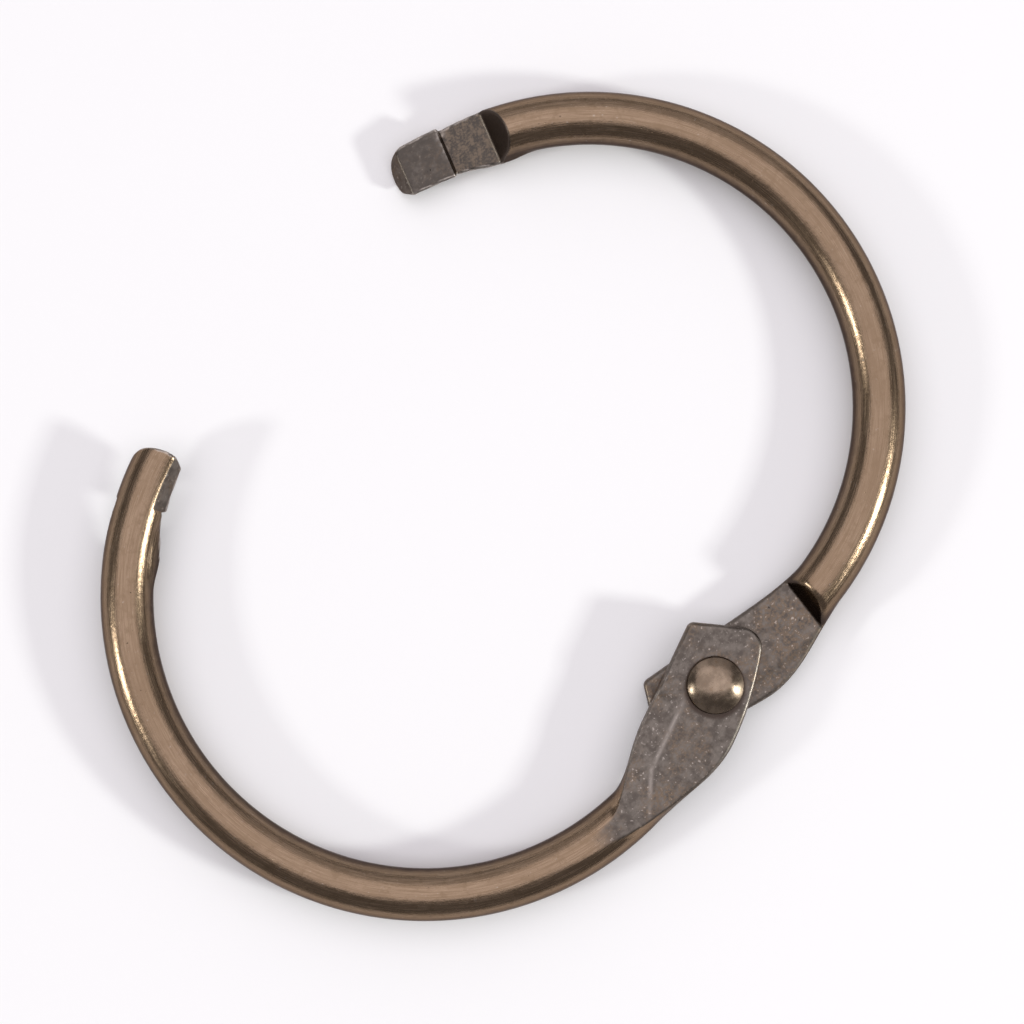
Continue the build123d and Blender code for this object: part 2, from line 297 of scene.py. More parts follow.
# %% [markdown]
# ## The hooked tongue
# The free end is cut to half the wire's thickness. Near the tip it keeps a tooth, and behind the tooth is a
# notch, so that the two tongues catch when the ring snaps shut. The cut pushed a little metal out of the
# wire's side. Seen from the side, the cut is a walk of straight lines, so each one is a distance as before.

# %% The tongue as a form
TOOTH_ROUND = 0.06
FLANK_LEAN = math.radians(62.0)   # the tooth's inner flank is flat, and faces this far from straight down
FLANK_DEPTH = 0.11                # of that flat in the round wire
FLANK_CLEAR = 0.1                 # how far its face stands off the wire where there is no flat
NOTCH_ROUND = 0.07
SHOULDER_ROUND = 0.10
LAP_EDGE_ROUND = 0.05
TIP_OUTER_ROUND = 0.85
TIP_INNER_ROUND = 0.35
TIP_SOFTNESS = 0.09
BULGE_BLEND = 0.30


def lap_place(path, x, y):
    """Distances ahead of the lap's middle towards the tip, and aside towards the ring's inside, in the
    plan."""
    middle_x, middle_y = path.plan(np.float64(path.lap_middle), 0.0)
    heading = path.heading(path.lap_middle)
    ahead = (x - middle_x) * math.cos(heading) + (y - middle_y) * math.sin(heading)
    aside = (y - middle_y) * math.cos(heading) - (x - middle_x) * math.sin(heading)
    return ahead, aside


def lap_walk():
    """Corners of the cut, ahead of the lap's middle and in height: tip, tooth, notch, foot of the shoulder,
    up."""
    half = LAP_LENGTH / 2
    slope = math.tan(SHOULDER_LEAN)
    foot = slope * (WIRE_RADIUS + NOTCH_ROOT_DEPTH) - half
    return [
        (half, -TOOTH_CREST - TOOTH_LEAD),
        (HOOK_WIDTH / 2, -TOOTH_CREST),
        (-HOOK_WIDTH / 2, -NOTCH_DEPTH),
        (foot, -NOTCH_ROOT_DEPTH),
        (foot - slope, 1 - NOTCH_ROOT_DEPTH),
    ]


def lap_cut(ahead, height):
    """Distance above the cut: tooth and hook share a corner, the notch's floor and the shoulder are joined
    on."""
    walk = lap_walk()
    top, hook, floor, shoulder = (beside(ahead, height, *leg) for leg in zip(walk, walk[1:]))
    return joined(joined(shared(top, hook, TOOTH_ROUND), floor, NOTCH_ROUND), shoulder, SHOULDER_ROUND)


def flank_face(ahead, inward, height):
    """Distance outside the tooth's flat inner flank, which rises out of the round wire behind the hook."""
    depth = FLANK_DEPTH * smooth(ahead, -0.2, 0.1) - FLANK_CLEAR * (1 - smooth(ahead, -0.3, -0.1))
    return inward * math.sin(FLANK_LEAN) - height * math.cos(FLANK_LEAN) - WIRE_RADIUS + depth


def tip_face(ahead, height):
    """Distance ahead of the leaning face that ends the wire."""
    end = LAP_LENGTH / 2 - LAP_CLEARANCE
    return (ahead - end + math.tan(SHOULDER_LEAN) * (height + WIRE_RADIUS)) * math.cos(SHOULDER_LEAN)


def tongue_form(path, along, inward, height, x, y):
    """The wire with the pushed-out bulge, kept below the tooth, the notch's floor and the shoulder, up to the
    tip."""
    wire = np.hypot(inward, height) - WIRE_RADIUS
    bulge_radius = WIRE_RADIUS / 2 + BULGE_PROUD
    reach = np.sqrt(
        ((along - path.tongue_start - BULGE_SETBACK) / BULGE_HALF_LENGTH) ** 2
        + ((inward - WIRE_RADIUS / 2) / bulge_radius) ** 2
        + ((height + NOTCH_ROOT_DEPTH + BULGE_HALF_HEIGHT / 3) / BULGE_HALF_HEIGHT) ** 2
    )
    body = joined(wire, (reach - 1) * BULGE_HALF_HEIGHT, BULGE_BLEND)
    ahead, aside = lap_place(path, x, y)
    body = shared(body, flank_face(ahead, inward, height), LAP_EDGE_ROUND)
    body = shared(body, lap_cut(ahead, height), LAP_EDGE_ROUND)
    end_face = tip_face(ahead, height)
    half_width = WIRE_RADIUS + BULGE_PROUD + LAP_CLEARANCE / 2
    tip = shared(end_face, -aside - half_width, TIP_OUTER_ROUND)
    tip = shared(tip, aside - half_width, TIP_INNER_ROUND)
    return np.where(ahead > 0, shared(body, tip, TIP_SOFTNESS), body)


def half_form(path, along, inward, height):
    """Distance outside one half ring: the tab's form near the hinge, the tongue's near the free end, wire
    between."""
    x, y = path.plan(along, inward)
    wire = np.hypot(inward, height) - WIRE_RADIUS
    near_hinge = along < path.radius
    near_tip = along > path.tongue_start - 2 * WIRE_RADIUS
    distance = wire
    distance[near_hinge] = tab_form(path, *(a[near_hinge] for a in (along, inward, height, x, y)))
    distance[near_tip] = tongue_form(path, *(a[near_tip] for a in (along, inward, height, x, y)))
    return distance


print("corners of the lap's cut in mm", [(round(float(a), 2), round(float(b), 2)) for a, b in lap_walk()])

# %% [markdown]
# ## From a form to a skin
# A mesh of the form could be had from a voxel grid, but voxels waste points on the plain wire and blur the
# hook. Instead, a grid of rays starts inside the metal. Row after row follows the wire, and in each row the
# rays point round it, like the spines of a caterpillar. In the wide tab the rays start along a line, so that
# they meet the flat faces evenly. At both ends the rows tilt over until they look straight out of the end.

# %% The grid of rays
AROUND = 120                 # rays in a row
END_ROWS = 22                # rows that tilt over at each end
MARCH_STEPS = 70
MARCH_SHARE = 0.8            # of the distance that a ray walks in each step
TAB_SPACING = 0.042          # between the rows in the tab, and then in the leaf, the wire and the lap
LEAF_SPACING = 0.075
WIRE_SPACING = 0.22
LAP_SPACING = 0.032
LEAF_ROWS_START = 7.4        # along the wire from the rivet
WIRE_ROWS_START = 10.4
LAP_ROWS_LEAD = 1.2          # before the tongue's start
TAB_ROWS_INSET = 0.62        # how far inside the tab's end the first row starts
TIP_ROWS_INSET = 1.05        # and inside the lap's end the last one
TAB_RAYS_FADE = (5.6, 7.6)   # along the wire, from the plate's rays to the wire's
LAP_RAYS_RISE = (-0.9, 0.6)  # about the tongue's start, from the wire's rays to the lap's
LAP_RAYS_DEPTH = 0.76        # of their starts below the wire's middle
LAP_RAYS_THINNER = 0.5       # than the wire is the oval that they go round
LAP_FLAT_SHARE = 0.8         # of that oval's flat


def march(path, start, step):
    """Walks each ray from inside by its distance to the surface, again and again, and returns where it ends
    up."""
    place = start.copy()
    for _ in range(MARCH_STEPS):
        place -= step * (MARCH_SHARE * half_form(path, *place))
    return place


def stations(path):
    """Lengths along the wire for the rows: close together in the tab and the lap, wide apart on the plain
    wire."""
    lap_rows_start = path.tongue_start - LAP_ROWS_LEAD
    finish = path.tongue_start + LAP_LENGTH - TIP_ROWS_INSET
    stretches = [
        np.arange(-path.tab_end + TAB_ROWS_INSET, LEAF_ROWS_START, TAB_SPACING),
        np.arange(LEAF_ROWS_START, WIRE_ROWS_START, LEAF_SPACING),
        np.arange(WIRE_ROWS_START, lap_rows_start, WIRE_SPACING),
        np.arange(lap_rows_start, finish, LAP_SPACING),
    ]
    return np.concatenate(stretches)


def half_rays(path):
    """Start and direction of every ray. A row goes round a flat oval in equal steps: along its two straight
    sides the starts slide on its middle line, and round its two ends the directions turn."""
    along = stations(path)
    in_tab = 1 - smooth(along, *TAB_RAYS_FADE)
    in_lap = smooth(along, path.tongue_start + LAP_RAYS_RISE[0], path.tongue_start + LAP_RAYS_RISE[1])
    middle = -in_tab * (MID_GAP + TAB_THICKNESS / 2) - in_lap * LAP_RAYS_DEPTH
    reach = []
    for side in (1.0, -1.0):
        start = np.array([along, 0 * along, middle])
        step = np.array([0 * along, 0 * along + side, 0 * along])
        reach.append(march(path, start, step)[1])
    centre = (reach[0] + reach[1]) / 2 * in_tab
    half_thick = WIRE_RADIUS - in_tab * (WIRE_RADIUS - TAB_THICKNESS / 2) - in_lap * LAP_RAYS_THINNER
    flat = np.maximum((reach[0] - reach[1]) / 2 - half_thick, 0) * np.maximum(in_tab, LAP_FLAT_SHARE * in_lap)
    quarter = math.pi * half_thick / 2
    walked = np.arange(AROUND)[None, :] / AROUND * (4 * flat + 4 * quarter)[:, None]
    flat, quarter, thick = flat[:, None], quarter[:, None], half_thick[:, None]
    turn = np.clip(walked, 0, quarter) + np.clip(walked - quarter - 2 * flat, 0, 2 * quarter)
    turn = (turn + np.clip(walked - 3 * quarter - 4 * flat, 0, quarter)) / thick
    back = np.clip(walked - 3 * quarter - 2 * flat, 0, 2 * flat)
    slide = flat - np.clip(walked - quarter, 0, 2 * flat) + back
    start = np.array(np.broadcast_arrays(along[:, None], centre[:, None] + slide, middle[:, None]))
    step = np.array([0 * turn, np.cos(turn), np.sin(turn)])
    tilt = np.linspace(0, math.pi / 2, END_ROWS + 1)[None, 1:, None]
    ends = []
    for row, outward in ((0, -1.0), (-1, 1.0)):
        leaning = step[:, row][:, None, :] * np.cos(tilt)
        leaning[0] += outward * np.sin(tilt[0])
        ends.append((np.repeat(start[:, row][:, None, :], END_ROWS, axis=1), leaning))
    first, last = ends
    start = np.concatenate([first[0][:, ::-1], start, last[0]], axis=1)
    step = np.concatenate([first[1][:, ::-1], step, last[1]], axis=1)
    return start, step


def grid_faces(rows, columns):
    """Four-cornered faces of a grid that closes round its columns, listed so that they point outwards."""
    corner = np.arange(rows * columns).reshape(rows, columns)
    right = np.roll(corner, -1, axis=1)
    quads = [corner[:-1], right[:-1], right[1:], corner[1:]]
    return np.stack(quads, axis=-1).reshape(-1, 4)


print("rows along the upper and the lower half:", len(stations(upper_path)), len(stations(lower_path)))

# %% [markdown]
# ## Making the mesh
# The points are worked out as whole arrays and handed to Blender in one go. With them go notes for the
# finish: the place on the unbent wire, how much a point sticks out as an edge, and which kind of face it
# lies on. At each end the last row of rays folds onto itself like the lips of a closed bag, so its double
# points are merged.

# %% From rays to an object
HEAD_RADIUS = 1.30           # of the rivet
HEAD_SHADOW_SHIFT = (-0.105, -0.092)   # of the painted shadow round the head, in the ring's own axes
HEAD_SHADOW_OVERLAP = 0.02         # how far the painted shadow reaches under the head's edge
HEAD_SHADOW_WIDTH = 0.19
EDGE_SPAN = 0.02             # keeps the edge note calm where points lie close together
DOUBLE_DISTANCE = 1e-7       # in metres, up to which two points are one
CREASE_WIDTH = 0.09          # of the lighter line where the facet starts
PAINTED_GLINT_WIDTH = 0.18           # of the painted glint beside the hook
END_DARKENING = 0.45              # how much the cut end is darkened, as a share of the full darkening


def mesh_object(name, points, faces):
    """A smooth-shaded mesh object, from points in millimetres and four-cornered faces."""
    mesh = bpy.data.meshes.new(name)
    mesh.from_pydata((points * 0.001).tolist(), [], faces.tolist())
    mesh.shade_smooth()
    piece = bpy.data.objects.new(name, mesh)
    bpy.context.scene.collection.objects.link(piece)
    return piece


def edge_note(points, rows, columns):
    """How sharply the skin bends at each grid point: how far it stands out along its normal from the mean of
    its two neighbours, divided by their distance, with both ways through the grid added up."""
    grid = points.reshape(rows, columns, 3)
    round_by = [np.roll(grid, 1, axis=1), np.roll(grid, -1, axis=1)]
    along = [np.concatenate([grid[:1], grid[:-1]]), np.concatenate([grid[1:], grid[-1:]])]
    normal = np.cross(round_by[1] - round_by[0], along[1] - along[0])
    size = np.linalg.norm(normal, axis=2, keepdims=True)
    normal = normal / np.maximum(size, 1e-12)
    span_round = np.linalg.norm(round_by[1] - round_by[0], axis=2) + EDGE_SPAN
    span_along = np.linalg.norm(along[1] - along[0], axis=2) + EDGE_SPAN
    bend = ((grid - (round_by[0] + round_by[1]) / 2) * normal).sum(axis=2) / span_round
    bend += ((grid - (along[0] + along[1]) / 2) * normal).sum(axis=2) / span_along
    return bend.reshape(-1)


def soften(values, rows, columns, times):
    """Each value becomes a mean of itself and its neighbours in the grid, as many times as asked."""
    grid = values.reshape(rows, columns)
    for _ in range(times):
        grid = (2 * grid + np.roll(grid, 1, axis=1) + np.roll(grid, -1, axis=1)) / 4
        grid[1:-1] = (2 * grid[1:-1] + grid[:-2] + grid[2:]) / 4
    return grid.reshape(-1)


def add_note(piece, name, values):
    """Stores one number or one vector for each point of the mesh, for the finish to read."""
    kind = "FLOAT_VECTOR" if values.ndim == 2 else "FLOAT"
    note = piece.data.attributes.new(name, kind, "POINT")
    note.data.foreach_set("vector" if values.ndim == 2 else "value", values.astype(np.float32).ravel())


def place_half(points, turned_over, turn):
    """From a half's own place to the ring: turned over if it is the upper one, turned about the rivet and
    moved."""
    if turned_over:
        points = points * np.array([1.0, -1.0, -1.0])
    cosine, sine = math.cos(turn), math.sin(turn)
    x = points[:, 0] * cosine - points[:, 1] * sine + RIVET_X
    y = points[:, 0] * sine + points[:, 1] * cosine + RIVET_Y
    return np.stack([x, y, points[:, 2] + MID_PLANE], axis=1)


def merge_doubles(piece, distance=DOUBLE_DISTANCE):
    """Merges points of the mesh that lie on each other."""
    work = bmesh.new()
    work.from_mesh(piece.data)
    bmesh.ops.remove_doubles(work, verts=work.verts, dist=distance)
    bmesh.ops.dissolve_degenerate(work, edges=work.edges, dist=distance)
    work.to_mesh(piece.data)
    work.free()


def near(distance, whole, gone):
    """1 on a face and 0 away from it: one less a smooth rise of the distance's size between two limits."""
    return 1 - smooth(np.abs(distance), whole, gone)


def finish_notes(path, along, inward, height, x, y):
    """What the finish wants to know of each point: pressed, darkened by coat and painted shade in a hollow,
    in the notch, on the land ahead of it, beside the hook where a glint is painted, or on the facet's crease.
    A point lies on a face where its distance from that face is near nothing, and each pair of limits is the
    stretch in millimetres over which a note fades."""
    ahead, _ = lap_place(path, x, y)
    cut = lap_cut(ahead, height)
    in_lap = smooth(along, path.tongue_start - 0.4, path.tongue_start)
    on_cut = in_lap * smooth(cut, -0.06, -0.02)
    walk = lap_walk()
    # Painted shade: the shoulder and the step face are darkened, partly for their dark coat and partly for
    # the shade they stand in.
    shoulder = np.abs(beside(ahead, height, *walk[3:])) + np.maximum(-cut, 0)
    shoulder = in_lap * near(shoulder, 0.03, 0.09) * smooth(height, -0.16, -0.05)
    notch = on_cut * (ahead < 0) * (1 - shoulder)
    on_flank = in_lap * (ahead > 0) * near(flank_face(ahead, inward, height), 0.02, 0.05)
    end_face = in_lap * smooth(tip_face(ahead, height), -0.08, -0.02)
    on_step = near(step_face(height, x, y), 0.03, 0.10) * (along < path.radius)
    on_step = on_step * between(height, (-0.03, 0.06), (0.55, 0.95))
    _, inner_side = tab_plan(path, x, y)
    leaf, facet, facet_here = back_faces(along, inward, height, x, y, inner_side)
    on_back = near(np.minimum(np.abs(leaf), np.abs(facet)), 0.02, 0.06)
    on_back = on_back * (1 - smooth(along, 7.8, STEP_DISTANCE + LEAF_LENGTH - 0.2))
    plate_face = near(height + MID_GAP + TAB_THICKNESS / 2, TAB_THICKNESS / 2, WIRE_RADIUS / 2)
    in_tab = (1 - smooth(along, 5.2, 6.6)) * plate_face
    crease = np.exp(-(((inner_side + FACET_WIDTH) / CREASE_WIDTH) ** 2)) * facet_here * on_back
    return {
        "pressed": np.maximum.reduce([in_tab, on_cut, on_back, end_face, on_flank]),
        "coat_and_shade": np.maximum.reduce([shoulder, on_step, END_DARKENING * end_face]),
        "notch": notch,
        "land": on_cut * (ahead > 0),
        "painted_glint": on_cut * np.exp(-((ahead / PAINTED_GLINT_WIDTH) ** 2)),
        "crease": crease,
    }


def head_shadow_ring(placed):
    """Painted shadow round the rivet's head: a round spot a little larger than the head and shifted to one
    side, so that it shows as a dark ring that is widest there. It is 1 inside the spot's edge and fades over
    its width."""
    from_ring = np.hypot(placed[:, 0] - RIVET_X - HEAD_SHADOW_SHIFT[0], placed[:, 1] - RIVET_Y - HEAD_SHADOW_SHIFT[1])
    return 1 - smooth(from_ring, HEAD_RADIUS - HEAD_SHADOW_OVERLAP, HEAD_RADIUS + HEAD_SHADOW_WIDTH)


def half_ring(name, path, turned_over, turn):
    """One half ring as a closed skin: the rays are marched to the form, and the ends become the mesh's
    points."""
    start, step = half_rays(path)
    rows = start.shape[1]
    place = march(path, start.reshape(3, -1), step.reshape(3, -1))
    x, y = path.plan(place[0], place[1])
    points = np.stack([x, y, place[2]], axis=1)
    faces = grid_faces(rows, AROUND)
    edge = soften(edge_note(points, rows, AROUND), rows, AROUND, 1)
    notes = finish_notes(path, *place, x, y)
    placed = place_half(points, turned_over, turn)
    # The painted shadow round the rivet's head joins the darkened places.
    notes["coat_and_shade"] = np.maximum(notes["coat_and_shade"], head_shadow_ring(placed))
    piece = mesh_object(name, placed, faces)
    add_note(piece, "wire_place", place.T)
    add_note(piece, "edge", edge)
    for note, values in notes.items():
        add_note(piece, note, values)
    merge_doubles(piece)
    print(name, "has", len(piece.data.vertices), "points")
    print("its edge note goes from", round(edge.min(), 3), "to", round(edge.max(), 3))
    return piece


upper_turn = math.radians(90 + OPEN_ANGLE / 2) + upper_path.lead
lower_turn = math.radians(90 - OPEN_ANGLE / 2) - lower_path.lead
upper_half = half_ring("upper_half", upper_path, True, upper_turn)
lower_half = half_ring("lower_half", lower_path, False, lower_turn)

# %% [markdown]
# ## The rivet hole
# The hole goes straight through the tab, so it is cut with a boolean modifier, which is then applied. The
# cutter is a plain prism with many sides. It is thrown away afterwards.

# %% Cut the holes
SHANK_RADIUS = 0.80
SHANK_CLEARANCE = 0.05
HOLE_SIDES = 72
POLE_RADIUS = 1e-6           # in millimetres; a pole's points are merged later
CUTTER_DOUBLES = 1e-6        # in metres


def tube_points(profile, sides):
    """Points of a profile of radius and height, turned about the rivet's axis in equal steps."""
    angle = np.arange(sides) * 2 * math.pi / sides
    x = RIVET_X + profile[:, :1] * np.cos(angle)
    y = RIVET_Y + profile[:, :1] * np.sin(angle)
    z = np.repeat(profile[:, 1:], sides, axis=1) + MID_PLANE
    return np.stack([x, y, z], axis=-1).reshape(-1, 3)


def apply_modifiers(piece):
    """Replaces the mesh by what its modifiers make of it."""
    graph = bpy.context.evaluated_depsgraph_get()
    finished = bpy.data.meshes.new_from_object(piece.evaluated_get(graph))
    piece.modifiers.clear()
    piece.data = finished


def cut_hole(piece, radius):
    """Cuts a round hole about the rivet's axis."""
    height = 2 * WIRE_RADIUS
    profile = np.array([[POLE_RADIUS, -height], [radius, -height], [radius, height], [POLE_RADIUS, height]])
    cutter = mesh_object("hole_cutter", tube_points(profile, HOLE_SIDES), grid_faces(4, HOLE_SIDES))
    merge_doubles(cutter, CUTTER_DOUBLES)
    cut = piece.modifiers.new("rivet hole", "BOOLEAN")
    cut.operation = "DIFFERENCE"
    cut.solver = "EXACT"
    cut.object = cutter
    apply_modifiers(piece)
    bpy.data.objects.remove(cutter)
    print(piece.name, "with its hole has", len(piece.data.vertices), "points")


cut_hole(upper_half, SHANK_RADIUS + SHANK_CLEARANCE)
cut_hole(lower_half, SHANK_RADIUS)

# %% [markdown]
# ## The rivet
# It is a turned piece: a low dome on top, a straight shank, and a tail that a punch spread out below. A
# profile turned about the axis gives it. Hand work left the dome a little uneven, so its height varies by a
# few hundredths of a millimetre in a soft pattern of waves.

# %% The rivet
HEAD_GAP = 0.04              # between the head and the tab
HEAD_SEAT = TAB_BACK + HEAD_GAP
HEAD_RIM = 0.20              # height of the head's edge
HEAD_HEIGHT = 0.70
RIM_ROUND = 0.07
SHANK_FILLET = 0.02
TAIL_RADIUS = 1.035
TAIL_HEIGHT = 0.27
TAIL_ROUND = 0.16
TAIL_BEVEL = 0.03
RIVET_SIDES = 128
RIVET_DOUBLES = 3e-8         # in metres
DENT_DEPTH = 0.016
MARK_X, MARK_Y = -0.34, -0.30   # one small dent of a punch, from the axis
MARK_SIZE = 0.17
PUNCH_DEPTH = 0.014


def round_edge(radius, height, round_by, angles):
    """Points of a small arc: a middle, plus the rounding times the cosine outwards and the sine upwards."""
    return np.stack([radius + round_by * np.cos(angles), height + round_by * np.sin(angles)], axis=1)


def rivet_profile():
    """Radius and height from the dome's top down to the tail's middle: an arc, a small round rim, straight
    runs and the tail's rounding."""
    rise = HEAD_HEIGHT - HEAD_RIM
    dome_radius = (HEAD_RADIUS**2 + rise**2) / (2 * rise)
    angle = np.linspace(0.0, math.asin(HEAD_RADIUS / dome_radius) * 0.97, 40)
    dome_height = HEAD_SEAT + HEAD_HEIGHT - dome_radius * (1 - np.cos(angle))
    dome = np.stack([dome_radius * np.sin(angle), dome_height], axis=1)
    bend = np.linspace(0.6, -math.pi / 2, 9)
    rim = round_edge(HEAD_RADIUS - RIM_ROUND, HEAD_SEAT + RIM_ROUND, RIM_ROUND, bend)
    shank_top = [[SHANK_RADIUS + SHANK_FILLET, HEAD_SEAT], [SHANK_RADIUS, HEAD_SEAT - SHANK_FILLET]]
    shank = np.array([*shank_top, [SHANK_RADIUS, -TAB_BACK]])
    tail_top = np.array([[TAIL_RADIUS - TAIL_BEVEL, -TAB_BACK], [TAIL_RADIUS, -TAB_BACK - TAIL_BEVEL]])
    tail_end = -TAB_BACK - TAIL_HEIGHT
    bend = np.linspace(0, -math.pi / 2, 12)
    tail = round_edge(TAIL_RADIUS - TAIL_ROUND, tail_end + TAIL_ROUND, TAIL_ROUND, bend)
    flat = np.stack([np.linspace(tail[-1, 0] - 0.05, POLE_RADIUS, 16), np.full(16, tail_end)], axis=1)
    return np.concatenate([dome, rim, shank, tail_top, tail, flat])


def rivet():
    """The turned profile, with soft dents pressed into the dome."""
    profile = rivet_profile()
    profile[0, 0] = POLE_RADIUS
    points = tube_points(profile, RIVET_SIDES)
    x, y = points[:, 0] - RIVET_X, points[:, 1] - RIVET_Y
    top = smooth(points[:, 2] - MID_PLANE, HEAD_SEAT + HEAD_RIM, HEAD_SEAT + HEAD_HEIGHT)
    waves = np.sin(3.1 * x + 1.9 * y + 0.6) * np.sin(2.3 * y - 2.7 * x + 1.1)
    waves = waves + 0.5 * np.sin(5.3 * x - 4.1 * y)
    mark = np.exp(-((x - MARK_X) ** 2 + (y - MARK_Y) ** 2) / MARK_SIZE**2)
    points[:, 2] -= DENT_DEPTH * top * (1 + waves) + PUNCH_DEPTH * mark * (top > 0)
    rows = len(profile)
    faces = grid_faces(rows, RIVET_SIDES)[:, ::-1]   # turned round, because the profile runs down
    piece = mesh_object("rivet", points, faces)
    add_note(piece, "edge", edge_note(points, rows, RIVET_SIDES))
    merge_doubles(piece, RIVET_DOUBLES)
    print("rivet has", len(piece.data.vertices), "points")
    return piece


hinge_rivet = rivet()

# %% [markdown]
# ## Antique bronze
# The steel is plated, darkened and then rubbed. Rubbing takes the dark coat off where fingers and tools
# reach: on the top and the bottom of the wire, and on every edge. The flanks and the hollows stay dark. Their
# darkness is also painted shade: the flanks mirror a dim room, and the hollows get little light.
# Brushing leaves fine streaks along the wire, and the coat has small pits. The pressed faces are greyer,
# because the dies burnished them. The finish reads the notes that the mesh carries, so that each of these
# follows the metal.

# %% Short calls for nodes


class Finish:
    """A material's node tree with short calls for the nodes that this lesson uses."""

    def __init__(self, name):
        self.material = bpy.data.materials.new(name)
        self.material.use_nodes = True
        self.tree = self.material.node_tree
        self.shader = self.tree.nodes["Principled BSDF"]

    def feed(self, socket, value):
        """Links a socket to another one, or sets it to a number or a colour."""
        if isinstance(value, bpy.types.NodeSocket):
            self.tree.links.new(value, socket)
        elif value is not None:
            socket.default_value = value

    def math(self, operation, a, b=None, c=None):
        """One operation on up to three numbers."""
        node = self.tree.nodes.new("ShaderNodeMath")
        node.operation = operation
        for socket, value in zip(node.inputs, (a, b, c)):
            self.feed(socket, value)
        return node.outputs[0]

    def step(self, value, low, high, to_low=0.0, to_high=1.0):
        """A smooth rise from one value to another between two limits."""
        node = self.tree.nodes.new("ShaderNodeMapRange")
        node.interpolation_type = "SMOOTHSTEP"
        for socket, given in zip(node.inputs, (value, low, high, to_low, to_high)):
            self.feed(socket, given)
        return node.outputs[0]

    def blend(self, share, a, b):
        """Mixes two colours by a share."""
        node = self.tree.nodes.new("ShaderNodeMix")
        node.data_type = "RGBA"
        self.feed(node.inputs[0], share)
        self.feed(node.inputs[6], a)
        self.feed(node.inputs[7], b)
        return node.outputs[2]

    def note(self, name, vector=False):
        """Reads a note that the mesh carries."""
        node = self.tree.nodes.new("ShaderNodeAttribute")
        node.attribute_name = name
        return node.outputs["Vector" if vector else "Fac"]

    def stretched(self, vector, scale):
        """Scales a vector by a different number along each axis."""
        node = self.tree.nodes.new("ShaderNodeMapping")
        node.inputs["Scale"].default_value = scale
        self.feed(node.inputs["Vector"], vector)
        return node.outputs[0]

    def noise(self, vector, scale, detail=4.0, rough=0.55):
        """Cloudy noise from 0 to 1."""
        node = self.tree.nodes.new("ShaderNodeTexNoise")
        self.feed(node.inputs["Vector"], vector)
        node.inputs["Scale"].default_value = scale
        node.inputs["Detail"].default_value = detail
        node.inputs["Roughness"].default_value = rough
        return node.outputs[0]

    def place(self):
        """Place on the object, in metres."""
        return self.tree.nodes.new("ShaderNodeTexCoord").outputs["Object"]

    def height_of(self, vector):
        """The third number of a vector."""
        node = self.tree.nodes.new("ShaderNodeSeparateXYZ")
        self.feed(node.inputs[0], vector)
        return node.outputs[2]

    def bump(self, height, distance, strength=1.0, normal=None):
        """Tilts the surface by a height pattern; the distance is the pattern's full height in metres."""
        node = self.tree.nodes.new("ShaderNodeBump")
        node.inputs["Strength"].default_value = strength
        node.inputs["Distance"].default_value = distance
        self.feed(node.inputs["Height"], height)
        self.feed(node.inputs["Normal"], normal)
        return node.outputs[0]


def colour(red, green, blue):
    """A colour for a socket, from three shares of light."""
    return (red, green, blue, 1.0)


# %% [markdown]
# ## The two finishes
# The wire's bronze and the tabs' grey are two colours of one material, because on the real ring they fade
# into each other. Each is a base colour with cloudy or streaky noise blended in. Over both go the worn
# edges, the dark coat in hollows, which also paints their shade, and the pits on top. The rivet has a simpler
# chain of blends of its own.
# A painted picture could do the same, but noise stays sharp from near by and needs no unwrapping.

# %% The finish of the wire, the tabs and the rivet
BRONZE = colour(0.318, 0.228, 0.158)
BRONZE_DEEP = colour(0.205, 0.141, 0.090)
# The dark coat. It also paints shade: on the wire's flanks, in hollows, on the step and the shoulder, and
# round the rivet's head.
COAT_AND_SHADE_DARK = colour(0.060, 0.045, 0.037)
GUNMETAL = colour(0.168, 0.146, 0.127)
GUN_DARK = colour(0.098, 0.083, 0.072)
GUN_BROWN = colour(0.160, 0.120, 0.088)
NOTCH_BROWN = colour(0.150, 0.118, 0.090)
LAND_DARK = colour(0.076, 0.066, 0.058)
# Rubbed metal. It also paints the highlights on worn edges and the glint by the hook.
RUBBED_AND_HIGHLIGHT = colour(0.620, 0.556, 0.500)
PIT = colour(0.022, 0.015, 0.011)
DOME_DULL = colour(0.175, 0.132, 0.096)
DOME_BRIGHT = colour(0.320, 0.245, 0.180)
EDGE_TINT = colour(0.62, 0.57, 0.55)   # dims the mirror-like glare at the outline, as the dark coat does
STREAK_BUMP = 0.000010       # height of each pattern in metres
PIT_BUMP = 0.000022
DOME_BUMP = 0.000014


